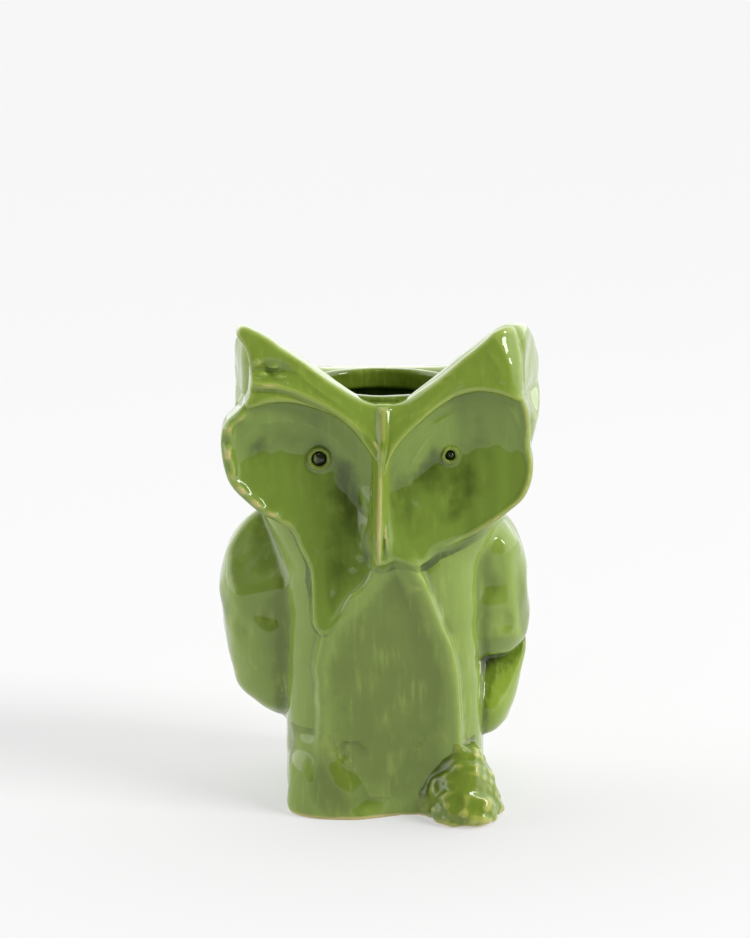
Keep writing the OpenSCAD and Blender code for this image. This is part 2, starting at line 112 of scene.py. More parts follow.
room_dim, room_bright, window_share, seen_white = 0.09, 1.8, 1.4, 0.935
world = bpy.data.worlds.new("studio")
scene.world = world
world.use_nodes = True
room = world.node_tree
room.nodes.clear()
room_axes = wired(room, "ShaderNodeSeparateXYZ",
                  {0: wired(room, "ShaderNodeTexCoord", {}).node.outputs["Generated"]}).node
aside = wired(room, "ShaderNodeMath", {0: room_axes.outputs["X"]}, operation="ABSOLUTE")
behind = wired(room, "ShaderNodeMath", {0: aside, 1: 0.6, 2: room_axes.outputs["Y"]},
               operation="MULTIPLY_ADD")
above = wired(room, "ShaderNodeMath", {0: room_axes.outputs["Z"], 1: 0.0}, operation="MAXIMUM")
behind = wired(room, "ShaderNodeMath", {0: above, 1: -0.5, 2: behind}, operation="MULTIPLY_ADD")
window = eased(room, room_axes.outputs["X"], -0.35, -0.85, 1.0, window_share)
room_light = wired(room, "ShaderNodeBackground", {
    "Color": eased(room, behind, -0.35, 0.25, room_dim, room_bright), "Strength": window})
room_seen = wired(room, "ShaderNodeBackground", {"Color": (seen_white, seen_white, seen_white, 1)})
seen = wired(room, "ShaderNodeLightPath", {}).node.outputs["Is Camera Ray"]
room_shown = wired(room, "ShaderNodeMixShader", {0: seen, 1: room_light, 2: room_seen})
room.links.new(room_shown, room.nodes.new("ShaderNodeOutputWorld").inputs["Surface"])

# two veiled lights, too soft to show as highlights
for name, way, spread, power in [("key", (0.95, -0.5, 1.0), 22, 1.75), ("fill", (-0.4, -0.8, 0.7), 30, 0.2)]:
    lamp = bpy.data.lights.new(name, "SUN")
    lamp.angle = math.radians(spread)
    lamp.energy = power
    veiled = bpy.data.objects.new(name, lamp)
    veiled.rotation_euler = (-Vector(way)).to_track_quat("-Z", "Y").to_euler()
    veiled.visible_glossy = False
    scene.collection.objects.link(veiled)

# two bare panels that draw the glints
for name, spot, width, tall, power in [("side_panel", (1.25, -0.35, 0.95), 0.22, 0.5, 5.0),
                                       ("top_panel", (0.1, -0.75, 1.5), 0.14, 0.05, 0.8)]:
    lamp = bpy.data.lights.new(name, "AREA")
    lamp.shape = "RECTANGLE"
    lamp.size, lamp.size_y = width, tall
    lamp.energy = power
    panel = bpy.data.objects.new(name, lamp)
    panel.location = spot
    panel.rotation_euler = (Vector((0, 0, 0.12)) - Vector(spot)).to_track_quat("-Z", "Y").to_euler()
    scene.collection.objects.link(panel)

# ---------------------------------------------------------------------------
# base_slab: the floor of the vase, a slab of the same clay rolled flat and
# luted into the wall. Its underside is wiped clean of glaze before firing.
#
# All clay is worked in millimetres on one block of points. At each point the
# number is the distance to the clay's surface, negative inside the clay.
step = 0.7
block_low = np.array([-71.0, -64.0, -2.8])
block_high = np.array([71.0, 51.0, 203.0])
counts = np.ceil((block_high - block_low) / step).astype(int) + 1
X = (block_low[0] + step * np.arange(counts[0])).astype(np.float32)[:, None, None]
Y = (block_low[1] + step * np.arange(counts[1])).astype(np.float32)[None, :, None]
Z = (block_low[2] + step * np.arange(counts[2])).astype(np.float32)[None, None, :]


def curve_through(a, b, c, d, t):
    """Catmull-Rom curve between b and c."""
    return 0.5 * (2 * b + (c - a) * t + (2 * a - 5 * b + 4 * c - d) * t * t
                  + (3 * b - a - 3 * c + d) * t ** 3)


def read_rows(rows, at):
    """The columns of a table whose first column rises, smoothly read at each place."""
    rows = np.array(rows, float)
    keys = rows[:, 0]
    at = np.clip(np.asarray(at, float), keys[0], keys[-1])
    i = np.clip(np.searchsorted(keys, at, "right") - 1, 0, len(keys) - 2)
    t = ((at - keys[i]) / (keys[i + 1] - keys[i]))[..., None]

    def row(k):
        return rows[np.clip(k, 0, len(rows) - 1)]

    found = curve_through(row(i - 1), row(i), row(i + 1), row(i + 2), t)
    return [found[..., c].astype(np.float32) for c in range(1, rows.shape[1])]


def ramp(start, end, x):
    """0 before start, 1 after end, easing in between."""
    t = np.clip((x - start) / (end - start), 0, 1)
    return t * t * (3 - 2 * t)


def join(a, b, k):
    """Both clays, with a fillet about k wide where they meet."""
    h = np.maximum(k - np.abs(a - b), 0) / k
    return np.minimum(a, b) - h * h * k / 4


def cut(a, b, k):
    """What a and b share, its new edge rounded about k wide."""
    return -join(-a, -b, k)


def pare(shape, point, facing, k=2.0):
    """The shape with one side shaved flat, as with a wooden blade."""
    n = np.array(facing, float) / np.linalg.norm(facing)
    flat = (X - point[0]) * n[0] + (Y - point[1]) * n[1] + (Z - point[2]) * n[2]
    return cut(shape, flat.astype(np.float32), k)


def column(centre, reach, squareness):
    """An upright column: its reach to the left, right, front and back, per height."""
    dx, dy = X - centre[0], Y - centre[1]
    to_left, to_right, to_front, to_back = reach
    rx = np.where(dx < 0, to_left, to_right)
    ry = np.where(dy < 0, to_front, to_back)
    g = (np.abs(dx / rx) ** squareness + np.abs(dy / ry) ** squareness) ** (1 / squareness)
    rho = np.sqrt(dx * dx + dy * dy)
    return (rho - rho / np.maximum(g, 1e-4)).astype(np.float32)


# the waves of a hand-made surface: the length and height of each, and how many
rng = np.random.default_rng(7)
waves = [(rng.normal(size=3) * 2 * np.pi / length / 1.7, rng.uniform(0, 2 * np.pi), height)
         for length, height, count in ((42, 0.085, 6), (20, 0.024, 7), (11, 0.006, 7))
         for _ in range(count)]


def unevenness(points, rough):
    """How far the surface swells out at each point, in millimetres; rough scales the short waves."""
    return sum((height if height > 0.05 else height * rough) * np.sin(points @ way + phase)
               for way, phase, height in waves)


def sampled(field, places):
    """The field's value at places given in its own steps."""
    lo = np.clip(np.floor(places).astype(int), 0, np.array(field.shape) - 2)
    t = np.clip(places - lo, 0, 1)
    total = 0
    for corner in np.ndindex(2, 2, 2):
        weight = np.prod(np.where(corner, t, 1 - t), axis=1)
        i, j, k = (lo + corner).T
        total = total + weight * field[i, j, k]
    return total


def sharpness(field, places, spread, every):
    """At each place, above zero on ridges and below zero in creases about spread wide."""
    near = np.clip(field, -4 * spread, 4 * spread)[::every, ::every, ::every]
    soft = near
    for _ in range(max(1, round(1.5 * (spread / step / every) ** 2))):
        for axis in range(3):
            soft = (np.roll(soft, 1, axis) + soft + np.roll(soft, -1, axis)) / 3
    return sampled(soft - near, places / every).astype(np.float32)


def finish_piece(name, mesh, material):
    """Puts the mesh in the scene as the piece that replaces the CAD node of that name."""
    mesh.shade_smooth()
    mesh.materials.clear()
    mesh.materials.append(material)
    piece = bpy.data.objects.new(name + "_clay", mesh)
    scene.collection.objects.link(piece)
    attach(piece, "root")
    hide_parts(name)


def clay_piece(name, solid, bulk, material, rough=1.0, pools_and_shade=(), inside=None):
    """A closed mesh round the solid; bulk is all the clay there, for its ridges and creases.

    Pools are places on the front turned darker, partly glaze that ran together and partly painted shade: x,
    z, width, height, depth.
    Where a space inside is given, its walls below the rim are painted near black: painted shade.
    """
    near = np.argwhere(solid < 1.5 * step)
    lo = np.maximum(near.min(0) - 5, 0)
    hi = np.minimum(near.max(0) + 6, solid.shape)
    window = tuple(slice(a, b) for a, b in zip(lo, hi))
    grid = openvdb.FloatGrid(10.0)
    grid.copyFromArray(np.clip(np.ascontiguousarray(solid[window]), -4 * step, 4 * step).astype(np.float32))
    places, _, quads = grid.convertToPolygons(isovalue=0.0, adaptivity=0.0)
    points = (places + lo) * step + block_low
    mesh = bpy.data.meshes.new(name)
    mesh.from_pydata((points / 1000).tolist(), [], quads.tolist())
    normals = np.empty(len(points) * 3, np.float32)
    mesh.vertices.foreach_get("normal", normals)
    swell = unevenness(points, rough) * ramp(0.2, 2.5, points[:, 2])
    points = points + normals.reshape(-1, 3) * swell[:, None]
    mesh.vertices.foreach_set("co", (points / 1000).astype(np.float32).ravel())
    for mark, spread, every in (("ridge", 1.0, 1), ("swell", 5.0, 3)):
        values = sharpness(bulk[window], places, spread, every)
        if mark == "swell":
            # painted shade, partly pooled glaze: the pools darken spots on the front
            for x, z, width, tall, depth in pools_and_shade:
                spot = ((points[:, 0] - x) / width) ** 2 + ((points[:, 2] - z) / tall) ** 2
                values = values - depth * np.exp(-spot)
            # painted shade: the walls inside, below the rim, are driven far below zero, which the glaze coat
            # paints near black
            if inside is not None:
                deep_and_shade = ramp(2.5, 1.0, sampled(inside[window], places)) * ramp(167, 164, points[:, 2])
                values = values - 3.0 * deep_and_shade
        values = values.astype(np.float32)
        mesh.attributes.new(mark, "FLOAT", "POINT").data.foreach_set("value", values)
    finish_piece(name, mesh, material)


# height, reach to the left, right, front and back, and squareness
wall_rows = [
    [0, 38.5, 41, 41.5, 40.5, 3.4], [5, 39.5, 42, 42, 42.5, 3.4],
    [30, 40, 41.5, 42.5, 42.5, 3.6], [60, 40, 41, 43.5, 42, 3.6],
    [85, 40.5, 40.5, 44, 42, 3.4], [100, 41.5, 42, 43.5, 42, 3.0],
    [112, 46, 47, 41.5, 42.5, 2.8], [125, 53, 53, 38, 43.5, 2.7],
    [140, 58, 59, 36, 44.5, 2.8], [155, 59.5, 62.5, 36, 44.5, 3.2],
    [168, 60.5, 65, 36, 43.5, 4.4], [180, 60.5, 64, 36, 41.5, 4.8],
    [198, 59.5, 60, 34, 38, 4.8],
]
wall, floor_thickness = 6.5, 8.0
left, right, front, rear, square = read_rows(wall_rows, Z)
inner_column = column((0, 0), (left - wall, right - wall, front - wall, rear - wall), square)

biscuit = bpy.data.materials.new("bare_biscuit")
biscuit.use_nodes = True
biscuit_tree = biscuit.node_tree
grit_place = wired(biscuit_tree, "ShaderNodeTexCoord", {}).node.outputs["Object"]
grit = wired(biscuit_tree, "ShaderNodeTexNoise", {"Vector": grit_place, "Scale": 900.0, "Detail": 4.0})
stain = wired(biscuit_tree, "ShaderNodeTexNoise", {"Vector": grit_place, "Scale": 60.0, "Detail": 3.0})
biscuit_tone = wired(biscuit_tree, "ShaderNodeMix", {
    "Factor": eased(biscuit_tree, stain, 0.35, 0.65), "A": (0.44, 0.31, 0.17, 1), "B": (0.58, 0.45, 0.27, 1)},
    data_type="RGBA")
biscuit_shader = biscuit_tree.nodes["Principled BSDF"]
biscuit_tree.links.new(biscuit_tone, biscuit_shader.inputs["Base Color"])
biscuit_tree.links.new(eased(biscuit_tree, grit, 0.3, 0.7, 0.75, 0.95), biscuit_shader.inputs["Roughness"])
biscuit_tree.links.new(
    wired(biscuit_tree, "ShaderNodeBump", {"Height": grit, "Strength": 0.3, "Distance": 0.0002}),
    biscuit_shader.inputs["Normal"])

slab = cut(cut(inner_column - 0.4, Z - floor_thickness, 1.5), 0.25 - Z, 1.0)
clay_piece("base_slab", slab, slab, biscuit)

# ---------------------------------------------------------------------------
# trunk_wall: the lower part of the hollow clay wall, a rounded box paddled
# flat at its front corners and luted round the slab. It takes the whole
# weight. One coat of glossy green covers all of the vase but its underside.


def mixed(tree, factor, a, b):
    return wired(tree, "ShaderNodeMix", {"Factor": factor, "A": a, "B": b}, data_type="RGBA")


# the glaze: deep in hollows and creases, partly pooled glaze and partly painted shade; thin and yellow on
# edges
glaze_coat = bpy.data.node_groups.new("glaze_coat", "ShaderNodeTree")
glaze_inputs = {"Deep And Shade": "Color", "Body": "Color", "Thin": "Color", "Clay": "Color",
                "Thin From": "Float", "Thin To": "Float", "Bare From": "Float", "Bare To": "Float",
                "Streaks": "Float"}
for key, kind in glaze_inputs.items():
    glaze_coat.interface.new_socket(key, in_out="INPUT", socket_type="NodeSocket" + kind)
for key, kind in {"Color": "Color", "Roughness": "Float", "Waves": "Float"}.items():
    glaze_coat.interface.new_socket(key, in_out="OUTPUT", socket_type="NodeSocket" + kind)
given = glaze_coat.nodes.new("NodeGroupInput").outputs
place = wired(glaze_coat, "ShaderNodeTexCoord", {}).node.outputs["Object"]
run_place = wired(glaze_coat, "ShaderNodeMapping", {"Vector": place, "Scale": (1, 1, 0.25)})
runs = wired(glaze_coat, "ShaderNodeTexNoise", {"Vector": run_place, "Scale": 150.0, "Detail": 3.0})
clouds = wired(glaze_coat, "ShaderNodeTexNoise", {"Vector": place, "Scale": 70.0, "Detail": 3.0})
mottle = wired(glaze_coat, "ShaderNodeTexNoise", {"Vector": place, "Scale": 330.0, "Detail": 3.0})
ridge = wired(glaze_coat, "ShaderNodeAttribute", {}, attribute_name="ridge").node.outputs["Fac"]
swell = wired(glaze_coat, "ShaderNodeAttribute", {}, attribute_name="swell").node.outputs["Fac"]
streaks = wired(glaze_coat, "ShaderNodeMath", {0: runs, 1: 0.24, 2: wired(
    glaze_coat, "ShaderNodeMath", {0: clouds, 1: 0.44}, operation="MULTIPLY")}, operation="MULTIPLY_ADD")
streaks = wired(glaze_coat, "ShaderNodeMath", {0: mottle, 1: 0.12, 2: streaks}, operation="MULTIPLY_ADD")
# painted shade, partly pooled glaze: broad hollows, the pools and the walls inside turn to the deep colour
streaks = wired(glaze_coat, "ShaderNodeMath", {0: swell, 1: 0.35, 2: streaks}, operation="MULTIPLY_ADD")
colour = mixed(glaze_coat, eased(glaze_coat, streaks, 0.18, 0.56), given["Deep And Shade"], given["Body"])
# painted shade, partly pooled glaze: narrow creases and the joins between pieces turn deep
colour = mixed(glaze_coat, eased(glaze_coat, ridge, -0.08, -0.40, 0.0, 0.3), colour, given["Deep And Shade"])
# painted shade: near black in the deepest hollows and on the walls inside the mouth
colour = mixed(glaze_coat, eased(glaze_coat, streaks, 0.0, -0.5), colour, (0.045, 0.070, 0.006, 1))
fine_place = wired(glaze_coat, "ShaderNodeMapping", {"Vector": place, "Scale": (1, 1, 0.16)})
fine_runs = wired(glaze_coat, "ShaderNodeTexNoise", {"Vector": fine_place, "Scale": 420.0, "Detail": 2.0})
light_runs = wired(glaze_coat, "ShaderNodeMath", {0: eased(glaze_coat, fine_runs, 0.48, 0.72),
                                                  1: given["Streaks"]}, operation="MULTIPLY")
light_runs = wired(glaze_coat, "ShaderNodeMath", {0: light_runs, 1: eased(glaze_coat, clouds, 0.35, 0.6)},
                   operation="MULTIPLY")
colour = mixed(glaze_coat, light_runs, colour, given["Thin"])
edge = wired(glaze_coat, "ShaderNodeMath", {0: mottle, 1: 0.10, 2: ridge}, operation="MULTIPLY_ADD")
colour = mixed(glaze_coat, eased(glaze_coat, edge, given["Thin From"], given["Thin To"], 0.0, 0.85),
               colour, given["Thin"])
colour = mixed(glaze_coat, eased(glaze_coat, edge, given["Bare From"], given["Bare To"]),
               colour, given["Clay"])
height = wired(glaze_coat, "ShaderNodeSeparateXYZ", {0: place}).node.outputs["Z"]
foot_line = wired(glaze_coat, "ShaderNodeMath", {0: clouds, 1: -0.0012, 2: height}, operation="MULTIPLY_ADD")
colour = mixed(glaze_coat, eased(glaze_coat, foot_line, 0.0012, 0.0002), colour, given["Clay"])
leave = glaze_coat.nodes.new("NodeGroupOutput").inputs
glaze_coat.links.new(colour, leave["Color"])
glaze_coat.links.new(eased(glaze_coat, mottle, 0.3, 0.8, 0.025, 0.07), leave["Roughness"])
ripple = wired(glaze_coat, "ShaderNodeTexNoise", {"Vector": place, "Scale": 130.0, "Detail": 1.5})
glaze_coat.links.new(ripple, leave["Waves"])


def glaze(name, deep_and_shade, body, thin=(0.29, 0.37, 0.07), clay_colour=(0.52, 0.44, 0.17),
          thin_from=0.12, thin_to=0.34, bare_from=0.36, bare_to=0.60, streaks=0.45, ripples=0.25):
    """A material that wears the glaze coat with its own colours."""
    material = bpy.data.materials.new(name)
    material.use_nodes = True
    tree = material.node_tree
    coat = tree.nodes.new("ShaderNodeGroup")
    coat.node_tree = glaze_coat
    for key, value in (("Deep And Shade", (*deep_and_shade, 1)), ("Body", (*body, 1)), ("Thin", (*thin, 1)),
                       ("Clay", (*clay_colour, 1)), ("Thin From", thin_from), ("Thin To", thin_to),
                       ("Bare From", bare_from), ("Bare To", bare_to), ("Streaks", streaks)):
        coat.inputs[key].default_value = value
    shader = tree.nodes["Principled BSDF"]
    tree.links.new(coat.outputs["Color"], shader.inputs["Base Color"])
    tree.links.new(coat.outputs["Roughness"], shader.inputs["Roughness"])
    waves_bump = wired(tree, "ShaderNodeBump", {"Height": coat.outputs["Waves"], "Strength": ripples,
                                              "Distance": 0.001})
    tree.links.new(waves_bump, shader.inputs["Normal"])
    shader.inputs["IOR"].default_value = 1.52
    return material


body_glaze = glaze("body_glaze", (0.138, 0.200, 0.026), (0.208, 0.296, 0.049))

neck_height = 108.0
rim_height, mouth_radius, collar_thickness = 170.0, 29.0, 5.5
crest = [
    [-62, 190], [-58.5, 196], [-55, 198.5], [-50, 196.5], [-44, 193.5], [-40, 190.5], [-30, 184.5],
    [-23, 179.2], [-16, 174.2], [-10, 170.6], [-5, 168.6], [0, 168.0], [7, 168.7],
    [13, 172.2], [20, 177.2], [25, 181.5], [30, 185.8], [35, 189.5], [40, 193.5],
    [43, 196], [47, 198], [50, 198], [54, 196.5], [57, 193], [62, 186],
]
crest_fade = [[-45, 1], [-28, 1], [-10, 0.92], [5, 0.74], [20, 0.42], [34, 0.1], [46, 0]]
mask_back = 32.0

tube = column((0, 0), (left, right, front, rear), square)
flank = 0.19 * (Y + 36) + 0.5 * np.maximum(0, 168 - Z)       # the ears' sides are paddled flat
tube = cut(tube, X - 54 - flank, 1.5)
tube = cut(tube, -X - 51.5 - flank, 1.5)
tube = pare(tube, (-31, -39.5, 0), (-0.7, -0.71, 0.004), 3)
tube = pare(tube, (-28, -44.2, 80), (-0.12, -0.98, 0.15), 3)
tube = pare(tube, (30, -41.5, 0), (0.42, -0.9, 0.01), 3)
rise = read_rows(crest, X * (1 - 0.12 * ramp(-34, -8, Y)))[0] - rim_height
fade = read_rows(crest_fade, Y)[0]
from_axis = np.sqrt(X * X + Y * Y)
top = rim_height + rise * fade * ramp(mouth_radius, mouth_radius + 12, from_axis + np.maximum(0, -Y - 20))
vessel = cut(tube, (Z - top) * 0.85, 4)
vessel = cut(vessel, -Z, 2)
hollow = cut(inner_column, Z - np.minimum(top, 182) + wall, 5)
hollow = cut(hollow, floor_thickness - Z, 5)
hollow = cut(hollow, np.maximum(X - 54, -X - 51.5) - flank + wall, 3)
hollow = cut(hollow, -mask_back + wall - Y + 0.35 * np.maximum(0, 125 - Z), 4)
mouth = np.maximum(from_axis - mouth_radius - collar_thickness + 0.6, 150 - Z)
hollow = join(hollow, mouth, 1.5)
vessel = cut(vessel, -hollow, 2)

root, slope = 3.0, 0.25
clay = vessel
trunk = vessel + slope * np.maximum(Z - neck_height, 0)
# inside=hollow paints the walls inside near black: painted shade
clay_piece("trunk_wall", np.maximum(trunk, Z - neck_height - 8), vessel, body_glaze, rough=4, inside=hollow)


def lay(name, shape, k, material, rough=4.0, pools_and_shade=()):
    """Lays a shape on the clay so far with a fillet k wide, and makes its piece.

    Away from the shape the piece dives slowly under its neighbours, which hides its edge.
    """
    global clay
    laid = join(clay, shape, k)
    beyond = np.maximum(shape - clay - k + 1.2, 0)
    solid = np.maximum(laid + slope * beyond, -clay - root)
    clay_piece(name, np.maximum(solid, -Z - 0.3), laid, material, rough=rough, pools_and_shade=pools_and_shade)
    clay = laid


# ---------------------------------------------------------------------------
# belly_panel: a thin slab cut to an arch, luted on the front of the trunk and
# scooped out lengthways with a thumb, so that its edge stands up as a ridge.
FX, FZ = X[:, 0, :], Z[:, 0, :]           # the front, seen face on


def drawn(points, closed=False, steps=6):
    """The points of a smooth line through the given ones."""
    p = np.array(points, float)
    if closed:
        p = np.vstack([p[-1], p, p[:2]])
    else:
        p = np.vstack([2 * p[0] - p[1], p, 2 * p[-1] - p[-2]])
    t = (np.arange(steps) / steps)[None, :, None]
    c = curve_through(p[:-3, None], p[1:-2, None], p[2:-1, None], p[3:, None], t)
    return np.vstack([c.reshape(-1, 2), p[-2]])


def line_distance(points, closed=False):
    """Seen from the front: distance to a line, its side (above it is 1), and the share along."""
    curve = drawn(points, closed)
    best = np.full((FX.shape[0], FZ.shape[1]), 1e9)
    side, along = np.zeros(best.shape), np.zeros(best.shape)
    inside = np.zeros(best.shape, bool)
    for i, ((ax, az), (bx, bz)) in enumerate(zip(curve[:-1], curve[1:])):
        ex, ez = bx - ax, bz - az
        t = np.clip(((FX - ax) * ex + (FZ - az) * ez) / (ex * ex + ez * ez + 1e-12), 0, 1)
        away = (FX - ax - t * ex) ** 2 + (FZ - az - t * ez) ** 2
        nearer = away < best
        best = np.where(nearer, away, best)
        side = np.where(nearer, np.sign(ex * (FZ - az) - ez * (FX - ax)), side)
        along = np.where(nearer, (i + t) / (len(curve) - 1), along)
        inside ^= ((az > FZ) != (bz > FZ)) & (FX < (bx - ax) * (FZ - az) / (bz - az + 1e-12) + ax)
    if closed:
        side = np.where(inside, -1, 1)
    return np.sqrt(best).astype(np.float32), side, along


def outline_distance(points):
    """Seen from the front: distance to a closed outline, negative inside it."""
    away, side, _ = line_distance(points, closed=True)
    return away * side


def stroke(points, width, height):
    """A mark of a modelling tool: a ridge, or a groove where the height is below zero."""
    away, _, along = line_distance(points)
    ends = ramp(0, 1, np.clip(np.minimum(along, 1 - along) * 5, 0, 1))
    return height * np.exp(-(away / width) ** 2) * ends


def thumb(x, z, width, rise, height):
    """An oval bump, or a dent where the height is below zero."""
    return height * np.exp(-((FX - x) / width) ** 2 - ((FZ - z) / rise) ** 2)


def plate(outline, reach, behind, k, flare=0.0):
    """A slab of clay with a drawn outline: its front at reach, its back at behind."""
    sides = outline[:, None, :] - flare * np.clip(Y + reach[:, None, :], 0, 12)
    slab = cut(sides, -Y - reach[:, None, :], k)
    return cut(slab, Y + behind, 2)


belly_outline = [
    (-6.5, 101), (-4, 106), (0, 108), (5, 108.5), (11, 108), (14.5, 103), (16.5, 99), (18, 95), (21, 88),
    (24, 80), (27.5, 73), (29, 66), (30.5, 55), (31.5, 40), (32, 25), (31, 8), (16, 3), (0, 1.5), (-10, 3),
    (-13, 8), (-16, 13), (-20, 18), (-24, 22), (-25.5, 28), (-26.5, 35), (-26, 45), (-26.5, 55),
    (-27.5, 62), (-26.5, 68), (-25.5, 74), (-24, 79), (-21, 82), (-18, 86), (-16, 90), (-13, 94), (-9, 97)]
belly_reach = read_rows([[0, 42.8], [10, 43.6], [30, 44.4], [60, 45.9], [85, 47.4], [104, 48.6],
                         [112, 49]], FZ)[0]
valley = read_rows([[0, 8], [40, 13], [80, 11], [105, 4]], FZ)[0]
edge_left = read_rows([[0, -12], [13, -16], [22, -24], [35, -26.5], [62, -27.5], [79, -24], [90, -16],
                       [104, -4]], FZ)[0]
edge_right = read_rows([[0, 31], [40, 31.5], [66, 29], [80, 24], [95, 18], [105, 11]], FZ)[0]
t_left = np.maximum((valley - FX) / (valley - edge_left), 0)
t_right = np.maximum((FX - valley) / (edge_right - valley), 0)
gully = np.exp(-((FX - valley) / 5) ** 2)
scoop = 4.8 * (1 - np.minimum(t_left, 1.1) - np.minimum(t_right, 1.1) ** 0.85 - 0.08 * gully)
belly_front = belly_reach - scoop * ramp(-14, 10, FZ) * (1 - 0.45 * ramp(92, 108, FZ))
for x, z, width, tall, rise in [
        (16.5, 33.5, 1.7, 1.1, -1.1), (14, 30.5, 1.7, 0.9, -1.0), (-19, 11, 1.6, 1.0, -0.8),
        (2, 30, 1.0, 0.8, -0.5),
        (-8, 83, 0.6, 3.0, 0.4), (-9, 79, 0.6, 2.0, 0.35), (12, 57, 0.6, 3.5, 0.35), (9, 52, 0.6, 2.5, 0.3),
        (-16, 45, 1.2, 1.6, -0.4), (-14, 41, 1.0, 1.2, 0.4), (5, 85, 0.8, 0.8, -0.5),
        (-2, 60, 0.7, 1.5, -0.4), (8, 50, 0.8, 0.8, -0.4), (-19, 66, 0.7, 3.0, 0.35), (13, 96, 2.0, 1.2, 0.5),
        (-10, 60, 3.0, 14, 0.35), (22, 55, 2.5, 12, -0.4), (17, 12, 4.0, 2.5, -0.5), (20, 70, 1.0, 5, 0.3)]:
    belly_front = belly_front + thumb(x, z, width, tall, rise)
crater_edge = 0.08 * np.sin(FX * 1.1) * np.cos(FZ * 0.9)
crater = ramp(1.15, 0.85, np.hypot((FX + 13) / 5.5, (FZ - 27) / 4.6) + crater_edge)
belly_front = belly_front - crater * (1.2 + 0.24 * (FZ - 27) + 0.4 * np.sin(FX * 1.2 + 1) * np.sin(FZ * 1.0))
belly_sd = outline_distance(belly_outline)
# the pool darkens the right half of the belly, which turns from the key light: painted shade
lay("belly_panel", plate(belly_sd, belly_front, 30, 4.5), 3, body_glaze, rough=3,
    pools_and_shade=[(15, 78, 7, 26, 0.3)])

# ---------------------------------------------------------------------------
# left_foot and right_foot: lumps of clay pressed against the wall at the
# bottom corners. The left one is smoothed down to a soft swelling; the right
# one keeps the pinches and pits of the fingers.


def lobe(centre, side, rows, squareness, k=6.0):
    """A lump lofted over rows of height and reach outwards, inwards, forwards and back."""
    outward, inward, forward, behind = read_rows(rows, Z)
    reach = (inward, outward, forward, behind) if side > 0 else (outward, inward, forward, behind)
    body = column(centre, reach, squareness)
    return cut(cut(body, Z - rows[-1][0], k), rows[0][0] - Z, k)


def ball(x, y, z, r):
    return np.sqrt((X - x) ** 2 + (Y - y) ** 2 + (Z - z) ** 2) - r


def knobs(size, seed):
    """Small swells in all directions, about size apart, between -1 and 1."""
    turn = np.random.default_rng(seed)
    total = np.float32(0)
    for _ in range(5):
        way = turn.normal(size=3)
        way = (way * 2 * np.pi / size / np.linalg.norm(way)).astype(np.float32)
        total = total + np.sin(way[0] * X + way[1] * Y + way[2] * Z + np.float32(turn.uniform(0, 6.28)))
    return total / 5


left_foot = lobe((-20, -34), -1, [[-1, 17, 20, 12, 8], [4, 18.5, 20, 12, 9], [12, 18, 18, 10.5, 9],
                                  [20, 16, 14, 8.5, 9], [28, 12, 10, 6.5, 8]], 2.2, 3)
left_foot = cut(left_foot + 0.45 * knobs(16, 3), 0.5 - belly_sd[:, None, :], 4)
lay("left_foot", cut(left_foot, -Z, 1.5), 9, body_glaze)

right_foot = lobe((32, -36), 1, [[-1, 15, 15, 20.5, 8], [3, 16, 16, 21.5, 9], [9, 14.5, 15.5, 19.5, 9],
                                 [16, 12, 12.5, 16, 9], [23, 9.5, 8, 12, 8], [29, 6, 4, 8, 6]], 2.1, 3)
right_foot = right_foot + 1.2 * knobs(11, 5) + 0.8 * knobs(6.5, 9) + 0.4 * knobs(4, 21)
for x, y, z, r in [(27, -60, 13, 6), (38, -60, 12, 5), (36, -56, 22, 4), (21, -58, 5, 4)]:
    right_foot = cut(right_foot, -ball(x, y, z, r), 2)
foot_glaze = glaze("foot_glaze", (0.075, 0.120, 0.010), (0.150, 0.220, 0.024), thin=(0.36, 0.39, 0.08))
lay("right_foot", cut(right_foot, -Z, 1.5), 3, foot_glaze)

# ---------------------------------------------------------------------------
# left_wing, right_wing and right_wing_tip: thick leaves of clay pressed on
# the trunk's sides, their edges turned in and their faces shaved with a
# blade. The right one has a second, smaller leaf tucked under its fold.
left_wing = lobe((-40, 0), -1, [
    [30, 3, 4, 6, 10], [35, 9, 6, 12, 17], [38, 13, 8, 16, 22], [42, 17.5, 8, 19, 25], [46, 20, 8, 21.5, 28],
    [50, 21.5, 8, 23, 30], [55, 23, 8, 24.5, 31], [62, 24, 8, 26, 32], [70, 25.2, 8, 27, 33],
    [78, 26, 8, 28, 33], [86, 26.8, 8, 29, 33], [90, 26.4, 8, 29, 33], [96, 25, 8, 28.5, 32],
    [103, 23, 8, 27, 31], [108, 20, 8, 24, 28], [113, 15, 8, 20, 25], [119, 8, 6, 13, 18]], 2.5)
left_wing = left_wing + 0.5 * knobs(17, 11)
left_wing = pare(left_wing, (-55, -25.5, 88), (-0.28, -0.66, 0.70), 2)
left_wing = pare(left_wing, (-62, -17, 60), (-0.9, -0.42, -0.1), 2)
left_wing = pare(left_wing, (-50, -26.5, 62), (-0.12, -0.99, 0.06), 2)
left_wing = pare(left_wing, (-56, -20, 42), (-0.5, -0.55, -0.66), 2)
for x, y, z, r in [(-50, -34, 104, 9), (-47, -35, 78, 9), (-60, -29, 72, 8)]:
    left_wing = cut(left_wing, -ball(x, y, z, r), 2)
lay("left_wing", left_wing, 2.5, body_glaze)

